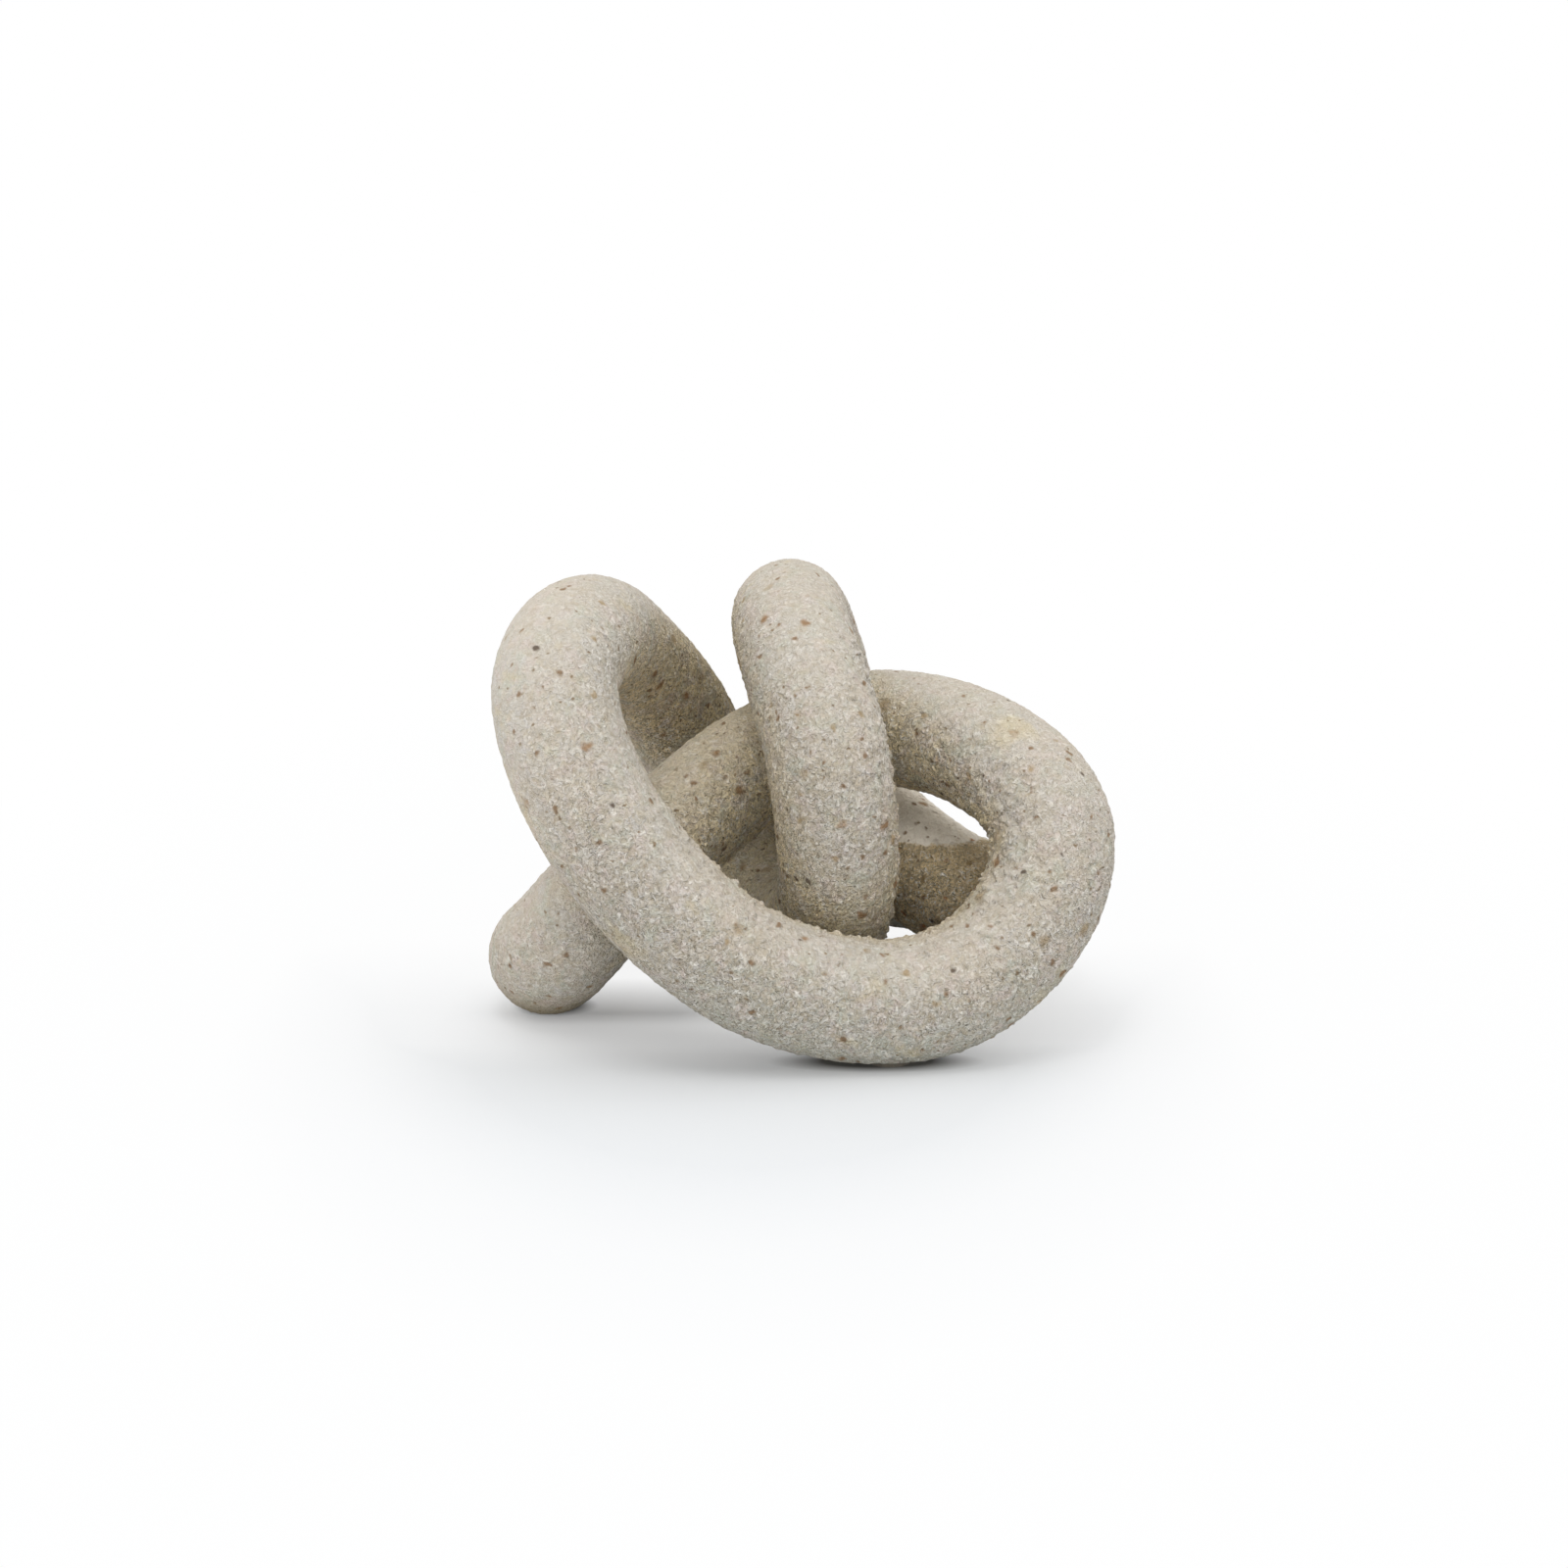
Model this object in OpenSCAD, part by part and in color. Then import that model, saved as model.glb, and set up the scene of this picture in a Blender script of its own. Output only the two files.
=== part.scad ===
/* [Knot] */
// Width of the box that the knot is drawn in, left to right
knot_w = 157; // [110:1:220]
// Depth of that box, front to back
knot_d = 160; // [112:1:224]
// Height of that box above the table
knot_h = 113; // [80:1:160]

/* [Strand] */
// Diameter of the round strand
strand_d = 30; // [20:0.5:36]
// Least gap that passes of the strand keep to each other
pass_gap = 0.9; // [0.3:0.1:5]

/* [Joints] */
// Diameter of the steel alignment dowels
dowel_d = 5; // [3:0.5:8]
// Length of the steel alignment dowels
dowel_len = 18; // [12:0.5:24]
// Adhesive gap round a dowel, on the radius
glue_gap = 0.15; // [0.1:0.05:0.4]
// Adhesive gap at each end of a dowel
end_gap = 0.5; // [0.3:0.1:1.5]
// Chamfer on the ends of a dowel
dowel_chamfer = 0.5; // [0.2:0.1:1]

/* [Feet] */
// Thickness of the felt pads
pad_t = 1.5; // [0.8:0.1:3]
// Diameter of the felt pads
pad_d = 11; // [6:0.5:12]

/* [Hidden] */
// places of the strand's axis: width and depth as shares of the half spans
// to each side of the middle, height as a share of the span from low to high
path_shares = [
    [-0.795, -0.38, 0.985], [-0.89, -0.71, 0.89], [-0.79, -0.87, 0.63],
    [-0.55, -0.96, 0.36], [-0.22, -0.98, 0.13], [0.16, -0.92, 0.01],
    [0.54, -0.88, 0.01], [0.86, -0.75, 0.17], [0.99, -0.60, 0.43],
    [0.78, -0.35, 0.61], [0.41, -0.06, 0.66], [0.05, 0.05, 0.60],
    [-0.23, -0.10, 0.51], [-0.42, -0.27, 0.41], [-0.59, -0.42, 0.32],
    [-0.74, -0.53, 0.22], [-0.87, -0.54, 0.11], [-0.96, -0.43, 0.02],
    [-0.98, -0.25, -0.01], [-0.94, -0.03, -0.01], [-0.88, 0.20, 0.01],
    [-0.78, 0.43, 0.02], [-0.61, 0.68, 0.02], [-0.33, 0.89, 0.01],
    [0.02, 0.99, 0.00], [0.36, 0.90, 0.00], [0.64, 0.69, 0.01],
    [0.86, 0.43, 0.02], [0.97, 0.15, 0.04], [0.96, -0.04, 0.07],
    [0.83, -0.17, 0.12], [0.65, -0.18, 0.17], [0.50, -0.07, 0.23],
    [0.38, 0.13, 0.28], [0.29, 0.33, 0.33], [0.20, 0.55, 0.47],
    [0.11, 0.63, 0.70], [0.03, 0.43, 0.90], [-0.02, 0.05, 0.99],
    [0.02, -0.31, 0.90], [0.11, -0.58, 0.71], [0.163, -0.65, 0.43],
    [0.15, -0.48, 0.18], [0.06, -0.17, 0.04], [-0.06, 0.17, 0.03],
    [-0.21, 0.38, 0.14], [-0.36, 0.50, 0.38], [-0.51, 0.41, 0.655],
    [-0.705, 0.06, 0.88],
];
// rows of the table at which the strand's lengths meet
joint_rows = [2.5, 6.5, 10.5, 13.5, 20.5, 27.5, 33, 36, 40, 42.5, 45.5, 47.5];
// rows of the table that stand on the table top
pad_rows = [5.5, 18.3, 24.5];
strand_sides = 24;
rings_per_row = 5;
stations_per_row = 3;
// stations to each side of a station that count as its own pass
own_stations = 11;
eased_stations = 2 * stations_per_row;
ease_share = 0.6;
most_tries = 20;
bore_faces = 48;
half_w = (knot_w - strand_d) / 2;
half_d = (knot_d - strand_d) / 2;
axis_low = strand_d / 2;
axis_span = knot_h - strand_d;
bore_d = dowel_d + 2 * glue_gap;
bore_depth = dowel_len / 2 + end_gap;
pass_pitch = strand_d + pass_gap;
near_enough = pass_gap / 5;
rows = len(path_shares);

// places as drawn, before close passes are moved apart
drawn = [for (p = path_shares) [p.x * half_w, p.y * half_d, axis_low + p.z * axis_span]];

// control points of a smooth closed curve that passes by the places
function pulls_by(places) = [for (i = [0:rows - 1])
    (8 * places[i] - places[(i + rows - 1) % rows] - places[(i + 1) % rows]) / 6];

function curve(pulls, s) = let (i = floor(s), t = s - i)
    (pow(1 - t, 3) * pulls[(i + rows - 1) % rows]
    + (3 * pow(t, 3) - 6 * t * t + 4) * pulls[i % rows]
    + (3 * t * t + 3 * t + 1 - 3 * pow(t, 3)) * pulls[(i + 1) % rows]
    + pow(t, 3) * pulls[(i + 2) % rows]) / 6;

// the move that takes station k half the way clear of the nearest other pass
function clearing(stations, k) = let (
    near = [for (j = [0:len(stations) - 1])
        if (abs(j - k) >= own_stations && abs(j - k) <= len(stations) - own_stations)
        let (v = stations[k] - stations[j]) if (norm(v) < pass_pitch) v])
    len(near) == 0 ? [0, 0, 0] : let (least = min([for (v = near) norm(v)]))
    [for (v = near) if (norm(v) == least) (pass_pitch / least - 1) / 2 * v][0];

function sum(list) = [for (v = list) 1] * list;

// a place's share of the moves round it, which fade out over two rows
function eased(moves, i) = sum([for (k = [-eased_stations:eased_stations])
    ease_share * (1 - abs(k) / (eased_stations + 1))
    * moves[(i * stations_per_row + k + len(moves)) % len(moves)]]);

// places with their passes moved apart, up to a number of tries; none sinks into the table
function parted(places, tries) = let (
    pulls = pulls_by(places),
    stations = [for (k = [0:rows * stations_per_row - 1]) curve(pulls, k / stations_per_row)],
    moves = [for (k = [0:len(stations) - 1]) clearing(stations, k)])
    tries == 0 || max([for (v = moves) norm(v)]) < near_enough ? places
    : parted([for (i = [0:rows - 1]) let (p = places[i] + eased(moves, i))
        [p.x, p.y, max(p.z, min(drawn[i].z, axis_low))]], tries - 1);

pulls = pulls_by(parted(drawn, most_tries));

function axis(s) = curve(pulls, s);

function unit(v) = v / norm(v);

function heading(s) = let (i = floor(s), t = s - i)
    unit((3 * t * t - 4 * t) * pulls[i % rows] + (1 + 2 * t - 3 * t * t) * pulls[(i + 1) % rows]
    + t * t * pulls[(i + 2) % rows] - pow(1 - t, 2) * pulls[(i + rows - 1) % rows]);

// a direction across the strand, carried from ring to ring without a twist
function across(v, along) = unit(v - (v * along) * along);

function carried(alongs, found) = len(found) == len(alongs) ? found
    : carried(alongs, concat(found, [across(found[len(found) - 1], alongs[len(found)])]));

function ring(centre, along, side) = let (other = cross(along, side))
    [for (k = [0:strand_sides - 1]) centre + strand_d / 2
        * (cos(360 * k / strand_sides) * side + sin(360 * k / strand_sides) * other)];

module swept(from, to) {
    steps = round((to - from) * rings_per_row);
    stations = [for (k = [0:steps]) from + (to - from) * k / steps];
    alongs = [for (s = stations) heading(s)];
    first = across(abs(alongs[0].z) < 0.8 ? [0, 0, 1] : [1, 0, 0], alongs[0]);
    sides = carried(alongs, [first]);
    points = [for (k = [0:steps]) each ring(axis(stations[k]), alongs[k], sides[k])];
    walls = [for (k = [0:steps - 1], j = [0:strand_sides - 1])
        let (a = k * strand_sides, b = a + strand_sides, n = (j + 1) % strand_sides)
        each [[a + j, b + j, b + n], [a + j, b + n, a + n]]];
    near_end = [[for (j = [0:strand_sides - 1]) j]];
    far_end = [[for (j = [strand_sides - 1:-1:0]) steps * strand_sides + j]];
    polyhedron(points, concat(walls, near_end, far_end));
}

module facing(v) rotate([0, acos(v.z), atan2(v.y, v.x)]) children();

module at_row(s) translate(axis(s)) facing(heading(s)) children();

// one cast length of the strand, with a blind dowel bore in each end
module cast_length(from, to) {
    difference() {
        swept(from, to);
        for (s = [from, to])
            at_row(s) cylinder(h = 2 * bore_depth, d = bore_d, center = true, $fn = bore_faces);
    }
}

// the same with its underside ground flat for a pad
module ground_length(from, to) {
    difference() {
        cast_length(from, to);
        translate([-knot_w, -knot_d, -knot_h])
            cube([2 * knot_w, 2 * knot_d, knot_h + pad_t]);
    }
}

module left_bow() color("#d3cabb") cast_length(joint_rows[11], joint_rows[0] + rows);

module front_sweep() color("#cfc6b6") ground_length(joint_rows[0], joint_rows[1]);

module right_bow() color("#d3cabb") cast_length(joint_rows[1], joint_rows[2]);

module cross_strand() color("#cfc6b6") cast_length(joint_rows[2], joint_rows[3]);

module foot_bend() color("#d3cabb") ground_length(joint_rows[3], joint_rows[4]);

module rear_run() color("#cfc6b6") ground_length(joint_rows[4], joint_rows[5]);

module side_bend() color("#d3cabb") cast_length(joint_rows[5], joint_rows[6]);

module inner_rise() color("#cfc6b6") cast_length(joint_rows[6], joint_rows[7]);

module top_arch() color("#d3cabb") cast_length(joint_rows[7], joint_rows[8]);

module front_drop() color("#cfc6b6") cast_length(joint_rows[8], joint_rows[9]);

module under_bend() color("#d3cabb") cast_length(joint_rows[9], joint_rows[10]);

module back_rise() color("#cfc6b6") cast_length(joint_rows[10], joint_rows[11]);

module dowel() {
    translate([0, 0, -dowel_len / 2]) rotate_extrude($fn = bore_faces) polygon([
        [0, 0], [dowel_d / 2 - dowel_chamfer, 0], [dowel_d / 2, dowel_chamfer],
        [dowel_d / 2, dowel_len - dowel_chamfer],
        [dowel_d / 2 - dowel_chamfer, dowel_len], [0, dowel_len],
    ]);
}

module dowels() color("#9aa0a4") for (s = joint_rows) at_row(s) dowel();

module felt_pads() {
    color("#6d665c") for (s = pad_rows)
        translate([axis(s).x, axis(s).y, 0]) cylinder(h = pad_t, d = pad_d, $fn = bore_faces);
}

left_bow();
front_sweep();
right_bow();
cross_strand();
foot_bend();
rear_run();
side_bend();
inner_rise();
top_arch();
front_drop();
under_bend();
back_rise();
dowels();
felt_pads();
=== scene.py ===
"""Looks of the knot: a sandy cast strand in twelve lengths on felt pads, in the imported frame."""
import math
from itertools import product

import bpy
import numpy as np
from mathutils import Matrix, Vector


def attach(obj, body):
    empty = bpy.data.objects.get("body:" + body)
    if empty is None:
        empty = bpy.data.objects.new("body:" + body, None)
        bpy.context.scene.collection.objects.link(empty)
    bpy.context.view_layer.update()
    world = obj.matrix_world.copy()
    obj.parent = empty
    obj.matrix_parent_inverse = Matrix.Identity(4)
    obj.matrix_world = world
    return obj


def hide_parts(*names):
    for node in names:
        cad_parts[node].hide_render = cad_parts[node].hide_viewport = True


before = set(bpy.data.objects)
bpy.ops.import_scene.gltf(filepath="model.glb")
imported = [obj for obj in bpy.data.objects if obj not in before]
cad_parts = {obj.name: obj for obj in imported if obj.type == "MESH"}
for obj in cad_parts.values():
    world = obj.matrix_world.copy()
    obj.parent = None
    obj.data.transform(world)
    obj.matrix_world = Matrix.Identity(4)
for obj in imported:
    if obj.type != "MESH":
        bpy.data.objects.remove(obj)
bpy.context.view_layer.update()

MM = 0.001

# driving dimensions in mm, as in the part's source
KNOT_W, KNOT_D, KNOT_H = 157, 160, 113
STRAND_D = 30
PAD_T = 1.5
DOWEL_D, DOWEL_LEN = 5, 18
GLUE_GAP, END_GAP = 0.15, 0.5
RADIUS = STRAND_D / 2
BORE_R = DOWEL_D / 2 + GLUE_GAP
BORE_DEPTH = DOWEL_LEN / 2 + END_GAP

# places of the strand's axis: width and depth as shares of the half spans to each side
# of the middle, height as a share of the span from low to high
PATH_SHARES = [
    (-0.795, -0.38, 0.985), (-0.89, -0.71, 0.89), (-0.79, -0.87, 0.63),
    (-0.55, -0.96, 0.36), (-0.22, -0.98, 0.13), (0.16, -0.92, 0.01),
    (0.54, -0.88, 0.01), (0.86, -0.75, 0.17), (0.99, -0.60, 0.43),
    (0.78, -0.35, 0.61), (0.41, -0.06, 0.66), (0.05, 0.05, 0.60),
    (-0.23, -0.10, 0.51), (-0.42, -0.27, 0.41), (-0.59, -0.42, 0.32),
    (-0.74, -0.53, 0.22), (-0.87, -0.54, 0.11), (-0.96, -0.43, 0.02),
    (-0.98, -0.25, -0.01), (-0.94, -0.03, -0.01), (-0.88, 0.20, 0.01),
    (-0.78, 0.43, 0.02), (-0.61, 0.68, 0.02), (-0.33, 0.89, 0.01),
    (0.02, 0.99, 0.00), (0.36, 0.90, 0.00), (0.64, 0.69, 0.01),
    (0.86, 0.43, 0.02), (0.97, 0.15, 0.04), (0.96, -0.04, 0.07),
    (0.83, -0.17, 0.12), (0.65, -0.18, 0.17), (0.50, -0.07, 0.23),
    (0.38, 0.13, 0.28), (0.29, 0.33, 0.33), (0.20, 0.55, 0.47),
    (0.11, 0.63, 0.70), (0.03, 0.43, 0.90), (-0.02, 0.05, 0.99),
    (0.02, -0.31, 0.90), (0.11, -0.58, 0.71), (0.163, -0.65, 0.43),
    (0.15, -0.48, 0.18), (0.06, -0.17, 0.04), (-0.06, 0.17, 0.03),
    (-0.21, 0.38, 0.14), (-0.36, 0.50, 0.38), (-0.51, 0.41, 0.655),
    (-0.705, 0.06, 0.88),
]
ROWS = len(PATH_SHARES)
# rows of the path at which the lengths meet, and the lengths between them
JOINT_ROWS = (2.5, 6.5, 10.5, 13.5, 20.5, 27.5, 33, 36, 40, 42.5, 45.5, 47.5)
BETWEEN_JOINTS = (
    "front_sweep", "right_bow", "cross_strand", "foot_bend", "rear_run", "side_bend",
    "inner_rise", "top_arch", "front_drop", "under_bend", "back_rise",
)
# each length with its first and last row; the left bow closes the knot
LENGTHS = [
    ("left_bow", JOINT_ROWS[-1], JOINT_ROWS[0] + ROWS),
    *zip(BETWEEN_JOINTS, JOINT_ROWS, JOINT_ROWS[1:]),
]

# steps of the mesh, in mm along the axis and in points round the strand
RING_STEP = 0.46
SIDES = 204
# steps by which the axis of a length is measured
FINE_STEPS = 2000

# the sandy coat, in mm: where it starts, and the layers of its lumps with their size, height and seed
COAT_LOW = -0.22
LUMPS = ((19, 0.20, 3), (8, 0.10, 4), (3.1, 0.10, 5), (1.4, 0.14, 6), (0.95, 0.12, 7))
GRAIN_HEIGHT, PIT_DEPTH = 0.26, 0.30
GROUND_ROUGHNESS = 0.02
# the share of its relief that the coat loses where it is calm
CALMED = 0.4
# chipped edges: the rows of the path that have them, on the right loop's inner side and the middle
# strand's right side, then the layers of their crumbs and how far a chip goes
LOOP_CHIPS, LOOP_MIDDLE = (2.0, 9.6), (30, -44, 44)
STRAND_CHIPS, STRAND_CHIP_SHARE = (39.2, 43), 1.1
CRUMBS, MOST_CRUMB = ((2.3, 1, 60), (1.2, 0.6, 61)), 0.9
CHIP_HEIGHT = 0.65

# what the openness is worked out from: few rings and sides, evenly spread directions, and a ball
# of the strand at every sixth ring that blocks the view
COARSE_RINGS, COARSE_SIDES, DIRECTIONS = 200, 24, 96
BLOCKER_STEP, BLOCKER_R = 6, 0.96 * RADIUS

# keeps the length of a normal above zero
TINY = 1e-9

# the strand's axis
axis_spans = ((KNOT_W - STRAND_D) / 2, (KNOT_D - STRAND_D) / 2, KNOT_H - STRAND_D)
places = np.array(PATH_SHARES, float) * axis_spans + (0, 0, RADIUS)
# control points of a smooth closed curve that passes by the places
pulls = (8 * places - np.roll(places, 1, 0) - np.roll(places, -1, 0)) / 6


def axis_at(rows):
    """Points, first and second derivatives of the strand's axis."""
    i = np.floor(rows).astype(int)
    t = (rows - i)[:, None]
    a, b, c, d = (pulls[(i + k) % ROWS] for k in (-1, 0, 1, 2))
    point = ((1 - t) ** 3 * a + (3 * t**3 - 6 * t**2 + 4) * b
             + (-3 * t**3 + 3 * t**2 + 3 * t + 1) * c + t**3 * d) / 6
    first = (-(1 - t) ** 2 * a + (3 * t**2 - 4 * t) * b
             + (-3 * t**2 + 2 * t + 1) * c + t**2 * d) / 2
    second = (1 - t) * a + (3 * t - 2) * b + (1 - 3 * t) * c + t * d
    return point, first, second


def even_rows(start, end):
    """Row values from start to end at even steps along the axis, without the end."""
    fine = np.linspace(start, end, FINE_STEPS + 1)
    steps = np.linalg.norm(np.diff(axis_at(fine)[0], axis=0), axis=1)
    travelled = np.concatenate([[0], np.cumsum(steps)])
    count = int(round(travelled[-1] / RING_STEP))
    return np.interp(np.arange(count) / count * travelled[-1], travelled, fine)


def unit(v):
    return v / np.linalg.norm(v, axis=-1, keepdims=True)


def rise(value, low, high):
    """0 up to low and 1 from high on, or the other way round where low is the greater."""
    return np.clip((value - low) / (high - low), 0, 1)


def carried(along):
    """Two directions across the strand at each ring, carried round it without a twist.

    The twist that is left where the strand closes is spread evenly over the rings.
    """
    side = np.zeros_like(along)
    v = np.array([0.0, 0.0, 1.0])
    for k, heading in enumerate(along):
        v = unit(v - v.dot(heading) * heading)
        side[k] = v
    v = unit(v - v.dot(along[0]) * along[0])
    twist = math.atan2(np.cross(side[0], v).dot(along[0]), side[0].dot(v))
    turn = -twist * np.arange(len(along))[:, None] / len(along)
    other = np.cross(along, side)
    return np.cos(turn) * side + np.sin(turn) * other, np.cos(turn) * other - np.sin(turn) * side


rows_by_length = [even_rows(start, end) for name, start, end in LENGTHS]
ring_rows = np.concatenate(rows_by_length)
RINGS = len(ring_rows)
centre, first, second = axis_at(ring_rows)
along = unit(first)
side, other = carried(along)
angle = 2 * math.pi * np.arange(SIDES) / SIDES
out = np.cos(angle)[None, :, None] * side[:, None] + np.sin(angle)[None, :, None] * other[:, None]
smooth = centre[:, None] + RADIUS * out
# how much the surface is drawn together on the inner side of a bend: 1 straight, 0 folded
bend = (second - (second * along).sum(1, keepdims=True) * along) / (first**2).sum(1, keepdims=True)
room = np.clip(1 - RADIUS * (out * bend[:, None]).sum(2), 0, 2)


# noise
# what turns a cell's three numbers into a random one: multipliers, then rounds of a shift and a multiplier
MIXERS = np.array([0x9E3779B1, 0x85EBCA77, 0xC2B2AE3D], np.uint64)
ROUNDS = ((16, 0x7FEB352D), (15, 0x846CA68B))
LAST_SHIFT, SEED_STEP = 16, 7919
LOW_BITS = 0xFFFFFFFF
# keeps the numbers of the cells above zero
CELL_SHIFT = 1000.0


def lattice(cells, seed):
    """A number from 0 to 1 for each whole cell, the same each run."""
    h = np.bitwise_xor.reduce(cells.astype(np.uint64) * MIXERS, axis=-1) + np.uint64(seed * SEED_STEP + 1)
    h &= np.uint64(LOW_BITS)
    for shift, mixer in ROUNDS:
        h ^= h >> np.uint64(shift)
        h = (h * np.uint64(mixer)) & np.uint64(LOW_BITS)
    h ^= h >> np.uint64(LAST_SHIFT)
    return h.astype(float) / LOW_BITS


def soft_noise(p, size, seed):
    """Smooth noise from -1 to 1 with lumps about size across."""
    q = p / size + CELL_SHIFT
    cell = np.floor(q).astype(np.int64)
    f = q - cell
    f = f * f * f * (f * (f * 6 - 15) + 10)
    total = np.zeros(p.shape[:-1])
    for corner in product((0, 1), repeat=3):
        total += np.where(corner, f, 1 - f).prod(-1) * lattice(cell + np.array(corner), seed)
    return total * 2 - 1


def spots(p, size, seed, share, reach):
    """Round spots, 1 at the middle and 0 at their rim, in a share of the cells."""
    q = p / size + CELL_SHIFT
    cell = np.floor(q).astype(np.int64)
    best = np.zeros(p.shape[:-1])
    for step in product((-1, 0, 1), repeat=3):
        c = cell + np.array(step)
        middle = c + 0.2 + 0.6 * np.stack([lattice(c, seed + k) for k in (1, 2, 3)], -1)
        own_reach = reach * (0.5 + lattice(c, seed + 4))
        off = np.linalg.norm(q - middle, axis=-1) * size / own_reach
        off = np.where(lattice(c, seed + 5) < share, off, 2)
        best = np.maximum(best, 1 - np.minimum(off, 1))
    return best


def layered(p, layers):
    """Soft noise in layers, each with its size, its amount and its seed."""
    return sum(amount * soft_noise(p, size, seed) for size, amount, seed in layers)


# the skin
def relief(p):
    """Height of the sandy coat over the smooth strand, in mm: lumps, grains and pits."""
    height = COAT_LOW + layered(p, LUMPS)
    height += GRAIN_HEIGHT * np.sqrt(spots(p, size=1.6, seed=20, share=0.6, reach=0.7))
    height -= PIT_DEPTH * spots(p, size=3.4, seed=40, share=0.42, reach=0.8)**0.7
    return height


def chipped(p):
    """Standing grains and broken crumbs, before their height is set."""
    crumbs = np.clip(layered(p, CRUMBS), -MOST_CRUMB, MOST_CRUMB)
    grains = np.sqrt(spots(p, size=2.1, seed=70, share=0.5, reach=0.75))
    return 0.6 * crumbs + 1.3 * grains - 0.25


def chip_share():
    """How strongly each point is chipped: on the right loop's inner edge and the middle strand's right."""
    row = ring_rows[:, None] % ROWS
    faces_in = (out * unit(LOOP_MIDDLE - centre)[:, None]).sum(2)
    start, end = LOOP_CHIPS
    on_loop = rise(faces_in, 0.1, 0.6) * rise(row, start, start + 1) * rise(row, end, end - 1)
    start, end = STRAND_CHIPS
    on_strand = STRAND_CHIP_SHARE * rise(out[..., 0], 0.3, 0.8) * (row > start) * (row < end)
    return np.maximum(on_loop, on_strand)


def sandy_surface():
    """Points of the skin: the smooth strand with its coat and chips, ground flat for the pads."""
    # calm on upward faces and on the left
    calm = np.minimum(rise(out[..., 2], 0.1, 0.8) + rise(smooth[..., 0], -25, -50), 1)
    height = relief(smooth) * (1 - CALMED * calm)
    height += CHIP_HEIGHT * chip_share() * chipped(smooth)
    # nothing stands up where a tight bend draws the surface together
    height = np.where(height > 0, height * rise(room, 0.08, 0.33), height)
    points = smooth + height[..., None] * out
    ground = PAD_T + GROUND_ROUGHNESS * soft_noise(smooth, 1.5, 9)
    points[..., 2] = np.maximum(points[..., 2], ground)
    return points


def outward(points):
    """Directions square to the skin, or straight out from the axis where it folds over."""
    ring_way = np.roll(points, -1, 0) - np.roll(points, 1, 0)
    side_way = np.roll(points, -1, 1) - np.roll(points, 1, 1)
    square = np.cross(side_way, ring_way)
    square /= np.maximum(np.linalg.norm(square, axis=2, keepdims=True), TINY)
    return np.where((square * out).sum(2, keepdims=True) < 0, out, square)


def between(values, count, axis):
    """Values stretched to count entries round a closed loop."""
    at = np.arange(count) * values.shape[axis] / count
    low = at.astype(int)
    share = (at - low).reshape([-1 if a == axis else 1 for a in range(2)])
    high = (low + 1) % values.shape[axis]
    return np.take(values, low, axis) * (1 - share) + np.take(values, high, axis) * share


def openness():
    """How open the skin is to the room: the share of directions that no pass of the strand blocks."""
    k = np.arange(DIRECTIONS) + 0.5
    polar = np.arccos(1 - 2 * k / DIRECTIONS)
    turned = math.pi * (1 + 5**0.5) * k
    looks = np.stack([np.cos(turned) * np.sin(polar), np.sin(turned) * np.sin(polar), np.cos(polar)], 1)
    blockers = centre[::BLOCKER_STEP]
    coarse = np.zeros((COARSE_RINGS, COARSE_SIDES))
    for j, r in enumerate(np.arange(COARSE_RINGS) * RINGS // COARSE_RINGS):
        for m, s in enumerate(np.arange(COARSE_SIDES) * SIDES // COARSE_SIDES):
            weight = np.clip(looks @ out[r, s], 0, 1)
            to = blockers - smooth[r, s]
            ahead = to @ looks.T
            miss = (to**2).sum(1)[:, None] - ahead**2
            hidden = ((ahead > 0) & (miss < BLOCKER_R**2)).any(0)
            coarse[j, m] = (weight * ~hidden).sum() / weight.sum()
    return between(between(coarse, RINGS, 0), SIDES, 1)


surface = sandy_surface()
normal = outward(surface)
open_share = openness()


# the lengths' meshes
def end_bore(ring, inward):
    """A blind bore in an end face: the rim of its mouth, its bottom edge and its bottom's middle."""
    mouth = centre[ring] + BORE_R * out[ring]
    depth = along[ring] * BORE_DEPTH * inward
    return mouth, mouth + depth, centre[ring] + depth


def length_faces(count):
    """Faces of a length of count steps: skin, near face and bore, far face and bore, and bore bottoms.

    The points run ring by ring: the skin's, the near bore's two, the far bore's two, and the two middles.
    """
    k = np.arange(SIDES)
    n = (k + 1) % SIDES

    def band(a, b):
        return np.stack([a * SIDES + k, a * SIDES + n, b * SIDES + n, b * SIDES + k], 1)

    def fan(first, second, hub):
        return np.stack([first, second, np.full(SIDES, hub)], 1)

    near_mouth, near_bottom, far_mouth, far_bottom, hubs = (count + step for step in (1, 2, 3, 4, 5))
    quads = [band(j, j + 1) for j in range(count)]
    quads += [band(near_mouth, 0), band(near_bottom, near_mouth)]
    quads += [band(count, far_mouth), band(far_mouth, far_bottom)]
    tris = [
        fan(near_bottom * SIDES + n, near_bottom * SIDES + k, hubs * SIDES),
        fan(far_bottom * SIDES + k, far_bottom * SIDES + n, hubs * SIDES + 1),
    ]
    return np.concatenate(quads), np.concatenate(tris)


def filled_mesh(name, points, quads, tris):
    """A mesh of the points, given in mm, with its four-sided faces first."""
    mesh = bpy.data.meshes.new(name)
    mesh.vertices.add(len(points))
    mesh.vertices.foreach_set("co", (points * MM).astype(np.float32).ravel())
    corners = np.concatenate([quads.ravel(), tris.ravel()])
    starts = np.concatenate([np.arange(len(quads)) * 4, quads.size + np.arange(len(tris)) * 3])
    mesh.loops.add(len(corners))
    mesh.loops.foreach_set("vertex_index", corners.astype(np.int32))
    mesh.polygons.add(len(starts))
    mesh.polygons.foreach_set("loop_start", starts.astype(np.int32))
    mesh.update(calc_edges=True)
    return mesh


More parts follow.
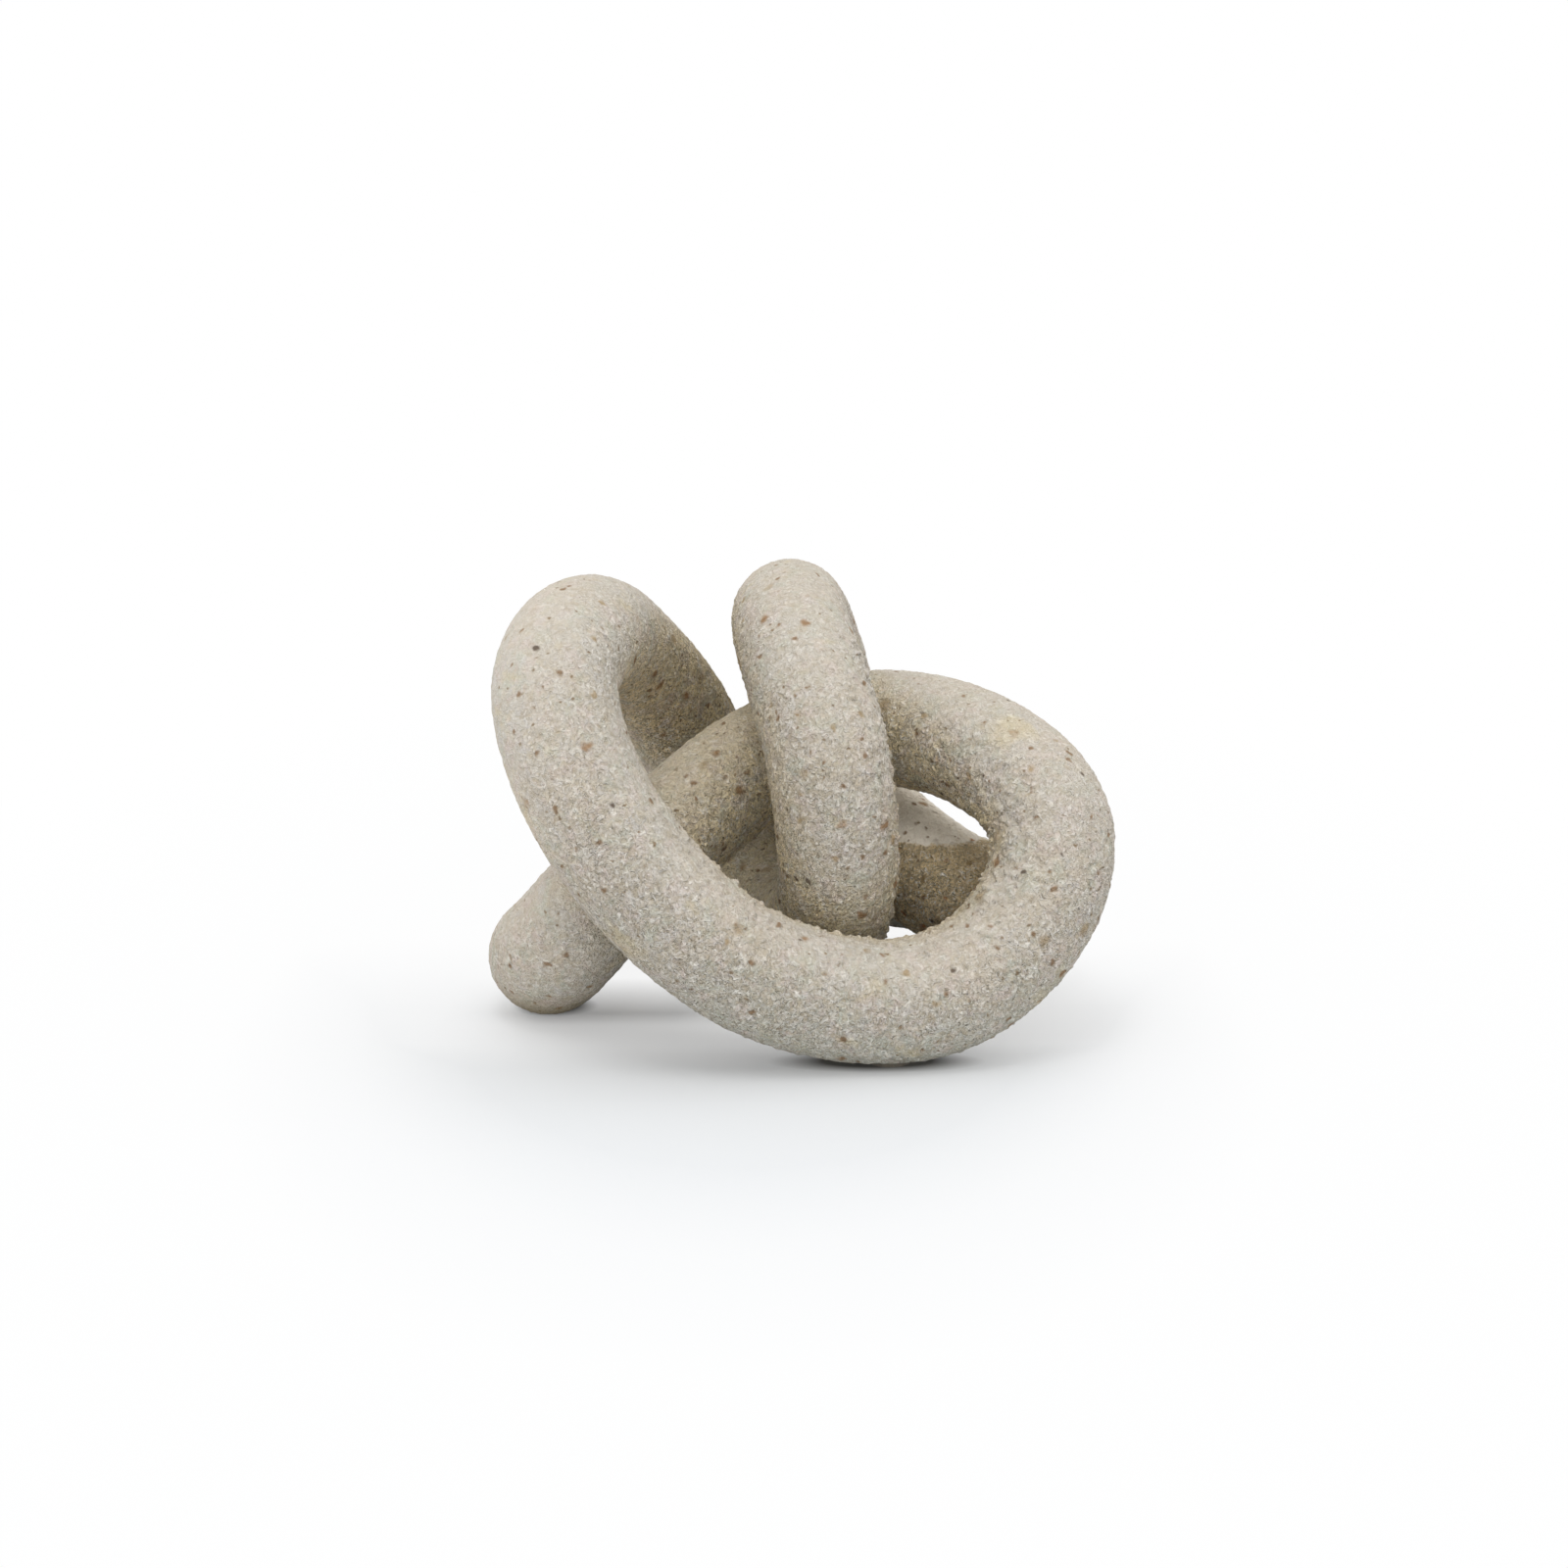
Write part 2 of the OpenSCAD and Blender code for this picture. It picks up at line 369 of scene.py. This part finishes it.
def length_mesh(name, start, count):
    """One length as a closed mesh: its sandy skin, and at each end a flat face with a blind bore."""
    rings = (start + np.arange(count + 1)) % RINGS
    near_mouth, near_bottom, near_middle = end_bore(rings[0], 1)
    far_mouth, far_bottom, far_middle = end_bore(rings[-1], -1)
    points = np.concatenate([
        *surface[rings], near_mouth, near_bottom, far_mouth, far_bottom, [near_middle, far_middle]])
    quads, tris = length_faces(count)
    mesh = filled_mesh(name, points, quads, tris)
    skin_faces = count * SIDES
    mesh.polygons.foreach_set("use_smooth", np.arange(len(quads) + len(tris)) < skin_faces)
    mesh.validate()
    # the openness, which the stone's painted bounce light and grain shading go by
    opened = mesh.attributes.new("open", "FLOAT", "POINT")
    near_open, far_open = open_share[rings[0]], open_share[rings[-1]]
    values = np.concatenate([*open_share[rings], near_open, near_open, far_open, far_open, [1, 1]])
    opened.data.foreach_set("value", values.astype(np.float32))
    # the skin keeps the whole strand's normals, so that no seam shows where two lengths meet
    flats = np.zeros(len(mesh.polygons) * 3, np.float32)
    mesh.polygons.foreach_get("normal", flats)
    corners_each = np.repeat([4, 3], [len(quads), len(tris)])
    normals = np.repeat(flats.reshape(-1, 3), corners_each, axis=0)
    skin_corners = quads[:skin_faces].ravel()
    normals[:len(skin_corners)] = normal[rings].reshape(-1, 3)[skin_corners]
    mesh.normals_split_custom_set(normals.tolist())
    return mesh


# materials, in metres
class Nodes:
    """The nodes of a material or of the world, made and joined in a line each."""

    def __init__(self, owner):
        self.owner = owner
        self.owner.use_nodes = True
        self.tree = self.owner.node_tree
        self.tree.nodes.clear()

    def fill(self, socket, value):
        if isinstance(value, bpy.types.NodeSocket):
            self.tree.links.new(value, socket)
        else:
            socket.default_value = value

    def add(self, kind, sockets=None, **settings):
        node = self.tree.nodes.new(kind)
        for key, value in settings.items():
            setattr(node, key, value)
        for key, value in (sockets or {}).items():
            self.fill(node.inputs[key], value)
        return node

    def noise(self, where, scale, detail, rough, distort=0.0):
        return self.add("ShaderNodeTexNoise", {
            "Vector": where, "Scale": scale, "Detail": detail, "Roughness": rough,
            "Distortion": distort}).outputs["Fac"]

    def ramp(self, fac, *stops):
        """A value that runs by stops, each a place and the value there."""
        node = self.add("ShaderNodeValToRGB", {"Fac": fac})
        ramp = node.color_ramp
        while len(ramp.elements) < len(stops):
            ramp.elements.new(0.5)
        for element, (at, value) in zip(ramp.elements, stops):
            element.position = at
            element.color = (value, value, value, 1)
        return node.outputs["Color"]

    def mix(self, share, a, b):
        """Colour a with a share of colour b."""
        node = self.add("ShaderNodeMix", data_type="RGBA")
        colours = [(*c, 1) if isinstance(c, tuple) else c for c in (a, b)]
        for index, value in zip((0, 6, 7), (share, *colours)):
            self.fill(node.inputs[index], value)
        return node.outputs[2]

    def rise(self, value, low, high):
        """0 up to low and 1 from high on, or the other way round where low is the greater."""
        node = self.add("ShaderNodeMapRange", {"Value": value, "From Min": low, "From Max": high})
        return node.outputs[0]

    def math(self, operation, *values):
        return self.add("ShaderNodeMath", dict(enumerate(values)), operation=operation).outputs[0]

    def times(self, value, *factors):
        for factor in factors:
            value = self.math("MULTIPLY", value, factor)
        return value

    def scaled(self, value, scale, start):
        """The value times scale, added to start."""
        return self.math("MULTIPLY_ADD", value, scale, start)

    def vector(self, operation, *vectors):
        return self.add("ShaderNodeVectorMath", dict(enumerate(vectors)), operation=operation).outputs[0]

    def length(self, vector):
        return self.add("ShaderNodeVectorMath", {0: vector}, operation="LENGTH").outputs["Value"]

    def parts(self, vector):
        """The vector's X, Y and Z."""
        return self.add("ShaderNodeSeparateXYZ", {0: vector}).outputs

    def cells(self, where, scale):
        """How far each place is from its cell's middle, and a number from 0 to 1 for its cell."""
        voronoi = self.add("ShaderNodeTexVoronoi", {"Vector": where, "Scale": scale}).outputs
        number = self.add("ShaderNodeSeparateColor", {"Color": voronoi["Color"]}).outputs[0]
        return voronoi["Distance"], number

    def bump(self, height, strength, distance, before=None):
        sockets = {"Height": height, "Strength": strength, "Distance": distance}
        if before is not None:
            sockets["Normal"] = before
        return self.add("ShaderNodeBump", sockets).outputs["Normal"]

    def shown(self):
        """1 for rays from the camera, off gloss and through glass, 0 for the rays that light things."""
        path = self.add("ShaderNodeLightPath").outputs
        direct = self.math("MAXIMUM", path["Is Camera Ray"], path["Is Glossy Ray"])
        return self.math("MAXIMUM", direct, path["Is Transmission Ray"])

    def blend(self, share, a, b):
        """Shader a with a share of shader b."""
        return self.add("ShaderNodeMixShader", {0: share, 1: a.outputs[0], 2: b.outputs[0]})

    def finish(self, shader, output="ShaderNodeOutputMaterial"):
        self.add(output, {"Surface": shader.outputs[0]})
        return self.owner


WHITE = (1, 1, 1, 1)
# the stone's colours, with painted light and shade among them
WARM_SAND, COOL_SAND, PALE_SAND = (0.645, 0.575, 0.485), (0.63, 0.59, 0.525), (0.68, 0.635, 0.56)
# painted warm bounce light, where sheltered and where most enclosed
SHELTERED_BOUNCE_LIGHT, DEEPEST_BOUNCE_LIGHT = (0.93, 0.775, 0.49), (1.0, 0.86, 0.56)
# painted shade on upward faces, painted cool bounce light low at the front, painted warm bounce light under
# high strands
TOP_SHADE, LOW_GREEN_BOUNCE, HIGH_UNDERSIDE_BOUNCE = (0.55, 0.51, 0.44), (0.61, 0.64, 0.565), (0.98, 0.79, 0.49)
# painted light and painted shadow on the bend inside the right loop
FLANK_LIGHT, FLANK_SHADOW = (0.97, 0.91, 0.80), (0.76, 0.575, 0.31)
# painted shade in the grain's hollows and painted highlight on its ridges
HOLLOW_SHADE, RIDGE_HIGHLIGHT = (0.42, 0.355, 0.25), (0.93, 0.895, 0.82)
# single dark grains, then painted shade in the fine grain's hollows
DARK_GRAIN, FINE_HOLLOW_SHADE = (0.45, 0.37, 0.26), (0.45, 0.39, 0.29)
# yellowish patches, and painted shade at the foot by the table
YELLOW_SAND, FOOT_CONTACT_SHADE = (0.68, 0.56, 0.31), (0.30, 0.24, 0.14)
# soft blots: the noise's scale, where a blot starts and where it is full, how strong, and its colour
BLOTS = (
    (210, 0.50, 0.64, 0.6, (0.69, 0.57, 0.525)),
    (165, 0.52, 0.66, 0.6, (0.55, 0.585, 0.49)),
    (330, 0.52, 0.64, 0.4, (0.67, 0.575, 0.42)),
    (290, 0.54, 0.66, 0.5, (0.65, 0.62, 0.605)),
)
# flecks: the cell's width, the fleck's reach in it, the share of cells that hold one, its colour and strength
FLECKS = (
    (0.0050, 0.20, 0.42, (0.265, 0.16, 0.08), 0.85),
    (0.0085, 0.11, 0.35, (0.12, 0.085, 0.06), 0.9),
    (0.0030, 0.20, 0.32, (0.27, 0.19, 0.11), 0.85),
    (0.0105, 0.17, 0.5, (0.335, 0.19, 0.085), 0.85),
    (0.0078, 0.16, 0.4, (0.40, 0.275, 0.13), 0.7),
    (0.0135, 0.17, 0.5, (0.38, 0.255, 0.12), 0.55),
)
FLANK_FLECKS = (
    (0.0062, 0.16, 0.2, (0.40, 0.17, 0.06), 0.85),
    (0.0070, 0.22, 0.2, (0.24, 0.165, 0.08), 0.6),
)
# the share of its reach up to which a fleck has its full colour
FULL_REACH = 0.45
# how far noise pushes a fleck's outline about, so that it comes out ragged
FLECK_PUSH = 0.0022
# the height of the line between painted light and painted shadow on the bend inside the right loop, how soft
# it is and how far it waves
FLANK_LINE, FLANK_SOFT, FLANK_WAVE = 0.044, 0.0003, 0.003
FLAKE_DEPTH, FINE_DEPTH = 0.0016, 0.0006


class StoneNodes(Nodes):
    """Nodes of the stone, with what its colours go by: the place, the facing and the shelter."""

    def __init__(self, name):
        super().__init__(bpy.data.materials.new(name))
        self.where = self.add("ShaderNodeTexCoord").outputs["Object"]
        self.place = self.parts(self.where)
        self.facing = self.parts(self.add("ShaderNodeNewGeometry").outputs["Normal"])
        self.opened = self.add("ShaderNodeAttribute", attribute_name="open").outputs["Fac"]
        # shelter by openness: it paints warm bounce light, stronger grain shading and more flecks
        self.sheltered = self.ramp(self.opened, (0.34, 1), (0.78, 0))


def grain_clearness(n):
    """How clearly the grain's bump, painted hollow shade and painted ridge highlight show: less on upward
    faces and high on the left, more where sheltered.
    """
    low = n.times(n.rise(n.place["Z"], 0.05, 0.03), 0.7)
    by_place = n.math("MAXIMUM", n.rise(n.place["X"], -0.085, -0.045), low)
    clear = n.times(n.ramp(n.facing["Z"], (0.1, 0.95), (0.8, 0.45)), by_place)
    return n.scaled(n.sheltered, 0.35, clear)


def sand_colour(n):
    """Warm and cool drifts of sand, with painted light and shade: warm bounce light where sheltered, shade on
    upward faces, cool greenish bounce light on downward faces low at the front, and warm bounce light on
    undersides up high.
    """
    up = n.facing["Z"]
    drift = n.ramp(n.noise(n.where, 38, 3, 0.6), (0.38, 0), (0.62, 1))
    base = n.mix(drift, WARM_SAND, COOL_SAND)
    base = n.mix(n.ramp(n.noise(n.where, 120, 3, 0.6), (0.45, 0), (0.75, 0.5)), base, PALE_SAND)
    # painted warm bounce light: paler and warmer where sheltered, most where enclosed
    base = n.mix(n.sheltered, base, SHELTERED_BOUNCE_LIGHT)
    base = n.mix(n.ramp(n.opened, (0.12, 1), (0.42, 0)), base, DEEPEST_BOUNCE_LIGHT)
    # painted shade on upward faces
    base = n.mix(n.times(n.rise(up, 0.3, 0.95), 0.4), base, TOP_SHADE)
    # painted cool greenish bounce light on downward faces low at the front
    low_front = n.times(n.rise(n.place["Z"], 0.045, 0.02), n.rise(n.place["X"], -0.04, -0.01))
    base = n.mix(n.times(n.rise(up, 0.2, -0.8), low_front, 0.6), base, LOW_GREEN_BOUNCE)
    # painted warm bounce light on downward faces up high
    high_under_bounce = n.times(n.rise(up, -0.1, -0.7), n.rise(n.place["Z"], 0.045, 0.06), 0.7)
    return n.mix(high_under_bounce, base, HIGH_UNDERSIDE_BOUNCE)


def blotted(n, base):
    """Pinkish, greenish, yellowish and pale blots, half as strong on upward faces."""
    strength = n.scaled(n.rise(n.facing["Z"], 0.9, 0.1), 0.5, 0.5)
    for scale, low, high, amount, colour in BLOTS:
        blot = n.ramp(n.noise(n.where, scale, 3, 0.62, 0.6), (low, 0), (high, amount))
        base = n.mix(n.times(blot, strength), base, colour)
    return base


def flank_light_and_shadow(n, base, clear):
    """The bend inside the right loop, on its front alone: pale painted light above a wavy line and a brownish
    painted shadow below it, with more rust flecks there.
    """
    high = n.scaled(n.noise(n.where, 260, 3, 0.6), FLANK_WAVE, n.place["Z"])
    above = n.rise(high, FLANK_LINE - FLANK_SOFT, FLANK_LINE + FLANK_SOFT)
    seen = n.times(
        n.rise(n.place["Y"], 0.012, 0.004), n.rise(n.place["X"], 0.066, 0.058),
        n.rise(n.place["X"], 0.017, 0.022), n.rise(n.facing["Y"], 0.25, 0.05))
    pale = n.times(above, seen)
    shadowed = n.times(n.math("SUBTRACT", 1.0, above), seen)
    # painted light above the line, a brownish painted shadow below it
    base = n.mix(pale, base, FLANK_LIGHT)
    base = n.mix(n.times(shadowed, 0.8), base, FLANK_SHADOW)
    clear = n.times(n.scaled(shadowed, 0.2, clear), n.scaled(pale, -0.7, 1.0))
    return base, clear, n.math("ADD", n.sheltered, shadowed)


def grained(n, base, clear, flake, fine):
    """Flaky grains with painted shade in their hollows and painted highlight on their ridges, single dark
    grains, painted shade in the fine grain's hollows, and yellowish patches.
    """
    # painted shade where the flaky grain is low, painted highlight where it stands high
    base = n.mix(n.times(clear, n.ramp(flake, (0.36, 0.7), (0.50, 0))), base, HOLLOW_SHADE)
    base = n.mix(n.times(clear, n.ramp(flake, (0.53, 0), (0.66, 0.75))), base, RIDGE_HIGHLIGHT)
    base = n.mix(n.ramp(n.cells(n.where, 900.0)[1], (0.00, 0.35), (0.16, 0)), base, DARK_GRAIN)
    # painted shade where the fine grain is low
    base = n.mix(n.times(clear, n.ramp(fine, (0.34, 0.6), (0.50, 0))), base, FINE_HOLLOW_SHADE)
    return n.mix(n.ramp(n.noise(n.where, 75, 2, 0.5, 0.5), (0.64, 0), (0.76, 0.35)), base, YELLOW_SAND)


def flecked(n, base, rusty, kinds):
    """Flecks of several kinds at random places, more of them where the sand is rusty."""
    push = n.add("ShaderNodeTexNoise", {"Vector": n.where, "Scale": 420.0, "Detail": 1.0}).outputs["Color"]
    push = n.vector("MULTIPLY", n.vector("SUBTRACT", push, (0.5, 0.5, 0.5)), (FLECK_PUSH,) * 3)
    ragged = n.vector("ADD", n.where, push)
    for cell, reach, share, colour, amount in kinds:
        off, pick = n.cells(ragged, 1 / cell)
        inside = n.ramp(off, (reach * FULL_REACH, amount), (reach, 0))
        chosen = n.math("LESS_THAN", pick, n.scaled(rusty, 0.3, share))
        base = n.mix(n.times(inside, chosen), base, colour)
    return base


def stone_material(name, flank=False):
    """Sand bound in resin: pale grain, soft mottling, and rust and dark flecks, with painted light and shade
    in its colour.
    """
    n = StoneNodes(name)
    clear, rusty, kinds = grain_clearness(n), n.sheltered, FLECKS
    base = blotted(n, sand_colour(n))
    if flank:
        base, clear, rusty = flank_light_and_shadow(n, base, clear)
        kinds += FLANK_FLECKS
    flake = n.noise(n.where, 760, 2.5, 0.6, 1.6)
    fine = n.noise(n.where, 1700, 2, 0.7)
    base = flecked(n, grained(n, base, clear, flake, fine), rusty, kinds)
    # painted shade at the foot, darker and browner low down where it meets the table
    shade_by_table = n.times(n.rise(n.place["Z"], 0.0115, 0.004), n.rise(n.place["X"], -0.03, -0.045), 0.75)
    base = n.mix(shade_by_table, base, FOOT_CONTACT_SHADE)
    lump = n.bump(flake, n.scaled(clear, 0.7, 0.3), FLAKE_DEPTH)
    grain = n.bump(fine, n.scaled(clear, 0.6, 0.2), FINE_DEPTH, lump)
    return n.finish(n.add("ShaderNodeBsdfPrincipled", {
        "Base Color": base, "Roughness": 0.93, "Normal": grain, "Specular IOR Level": 0.18}))


def felt_material():
    """Pressed wool felt: short tangled fibres."""
    n = Nodes(bpy.data.materials.new("pressed_felt"))
    where = n.add("ShaderNodeTexCoord").outputs["Object"]
    fibre = n.noise(where, 2200, 3, 0.7, 1.5)
    base = n.mix(n.ramp(fibre, (0.3, 0), (0.7, 1)), (0.17, 0.15, 0.12), (0.30, 0.27, 0.22))
    return n.finish(n.add("ShaderNodeBsdfPrincipled", {
        "Base Color": base, "Roughness": 0.97, "Specular IOR Level": 0.1,
        "Normal": n.bump(fibre, 0.6, 0.0003), "Sheen Weight": 0.3}))


def steel_material():
    """Drawn steel, faintly streaked."""
    n = Nodes(bpy.data.materials.new("drawn_steel"))
    where = n.add("ShaderNodeTexCoord").outputs["Object"]
    streak = n.noise(where, 1300, 2, 0.6)
    base = n.mix(streak, (0.50, 0.51, 0.52), (0.64, 0.65, 0.66))
    return n.finish(n.add("ShaderNodeBsdfPrincipled", {
        "Base Color": base, "Metallic": 1.0, "Roughness": 0.32, "Normal": n.bump(streak, 0.15, 0.0001)}))


# the pieces
def linked(name, data):
    """A new object in the scene."""
    obj = bpy.data.objects.new(name, data)
    bpy.context.scene.collection.objects.link(obj)
    return obj


stone, flank_stone = stone_material("sandy_stone"), stone_material("sandy_stone_flank", flank=True)
start = 0
for (name, _, _), rows in zip(LENGTHS, rows_by_length):
    mesh = length_mesh(name + "_stone", start, len(rows))
    mesh.materials.append(flank_stone if name in ("side_bend", "inner_rise") else stone)
    piece = linked(name + "_stone", mesh)
    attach(piece, "root")
    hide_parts(name)
    start += len(rows)

for node, material in (("felt_pads", felt_material()), ("dowels", steel_material())):
    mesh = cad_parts[node].data
    mesh.materials.clear()
    mesh.materials.append(material)


# the stage, in metres
FLOOR_HALF = 6.0
# the table's colour, and the colour of its painted contact shadows
FLOOR_TONE, CONTACT_SHADOW_TONE = (0.75, 0.77, 0.79), (0.15, 0.135, 0.11)
# painted contact shadows where the knot stands in front: the middle of each contact and how far the painted
# shadow reaches
CONTACTS = (
    ((0.0195, -0.0600, 0), (0.026, 0.0080, 1)),
    ((-0.0610, -0.0185, 0), (0.011, 0.0085, 1)),
)
# over this depth, from front to back, how white the table is under the knot's left half and elsewhere: a
# camera-only white glow set by place, painting light over the table's real shade
SHADE_DEPTH = (-0.1, 0.05)
LEFT_WHITES = ((0.233, 0.10), (0.333, 0.33), (0.44, 0.40), (0.505, 0.22), (0.70, 0.90))
OTHER_WHITES = ((0.233, 0.13), (0.353, 0.46), (0.533, 0.58), (0.75, 0.80), (0.95, 0.92))
# how white it is by the distance from the knot, measured shorter in depth
FAR_WHITES = ((0.07, 0), (0.10, 0.65), (0.13, 0.93), (0.30, 1))
FAR_SHIFT, FAR_SQUASH = (0.012, 0.0, 0.0), (1.0, 0.6, 0.0)
AMBIENT = 1.06


def floor_material():
    """A pale table that fades to white away from the knot, with its real shade lifted by painted light set by
    place, and painted contact shadows near it.
    """
    n = Nodes(bpy.data.materials.new("table_top"))
    where = n.add("ShaderNodeNewGeometry").outputs["Position"]
    place = n.parts(where)
    # painted light: the white glow's share set by place, lifting the table's real shade
    depth = n.rise(place["Y"], *SHADE_DEPTH)
    elsewhere = n.math("MAXIMUM", n.rise(place["X"], -0.03, 0.02), n.rise(place["X"], -0.065, -0.09))
    near = n.mix(elsewhere, n.ramp(depth, *LEFT_WHITES), n.ramp(depth, *OTHER_WHITES))
    far = n.length(n.vector("MULTIPLY", n.vector("ADD", where, FAR_SHIFT), FAR_SQUASH))
    fade = n.math("MAXIMUM", near, n.ramp(far, *FAR_WHITES))
    tone = FLOOR_TONE
    # painted contact shadows: the table darkened and its white glow taken away near each contact
    for spot, reach in CONTACTS:
        off = n.length(n.vector("DIVIDE", n.vector("SUBTRACT", where, spot), reach))
        close = n.ramp(off, (0.50, 0.93), (0.78, 0.38), (1.0, 0))
        tone = n.mix(close, tone, CONTACT_SHADOW_TONE)
        fade = n.times(fade, n.math("SUBTRACT", 1.0, close))
    shaded = n.add("ShaderNodeBsdfDiffuse", {"Color": tone})
    white = n.add("ShaderNodeEmission", {"Color": WHITE, "Strength": 1.0})
    return n.finish(n.blend(n.times(fade, n.shown()), shaded, white))


def studio_world():
    """Even light from all round, and plain white where the camera, gloss or glass shows it."""
    n = Nodes(bpy.data.worlds.new("studio"))
    light = n.add("ShaderNodeBackground", {"Color": WHITE, "Strength": AMBIENT})
    white = n.add("ShaderNodeBackground", {"Color": WHITE, "Strength": 1.0})
    return n.finish(n.blend(n.shown(), light, white), "ShaderNodeOutputWorld")


def looking(obj, place, way):
    """The object moved to a place and turned to look the given way."""
    obj.location = place
    obj.rotation_euler = way.to_track_quat("-Z", "Y").to_euler()
    return obj


floor_mesh = bpy.data.meshes.new("table")
corners = [(x * FLOOR_HALF, y * FLOOR_HALF, 0) for x, y in ((-1, -1), (1, -1), (1, 1), (-1, 1))]
floor_mesh.from_pydata(corners, [], [(0, 1, 2, 3)])
floor_mesh.materials.append(floor_material())
floor = linked("table", floor_mesh)

bpy.context.scene.world = studio_world()
LAMP_PLACE, LAMP_TARGET = Vector((-0.1, -0.4, 1.15)), Vector((0, 0, 0.05))
lamp = bpy.data.lights.new("overhead", "AREA")
lamp.size = 0.4
lamp.energy = 2.4
lamp.color = (1, 0.98, 0.95)
looking(linked("overhead", lamp), LAMP_PLACE, LAMP_TARGET - LAMP_PLACE)

# the camera
ELEVATION = math.radians(12.5)
DISTANCE = 0.510
TARGET = Vector((-0.0025, -0.048, 0.0648))
FOCAL_PX, PHOTO_PX = 2200, 1600
SENSOR_W = 36
back = Vector((0, -math.cos(ELEVATION), math.sin(ELEVATION)))
camera_data = bpy.data.cameras.new("camera")
camera_data.sensor_width = SENSOR_W
camera_data.lens = SENSOR_W * FOCAL_PX / PHOTO_PX
camera_data.clip_start = 0.01
camera = looking(linked("camera", camera_data), TARGET + back * DISTANCE, -back)
bpy.context.scene.camera = camera
bpy.context.scene.view_settings.view_transform = "Standard"
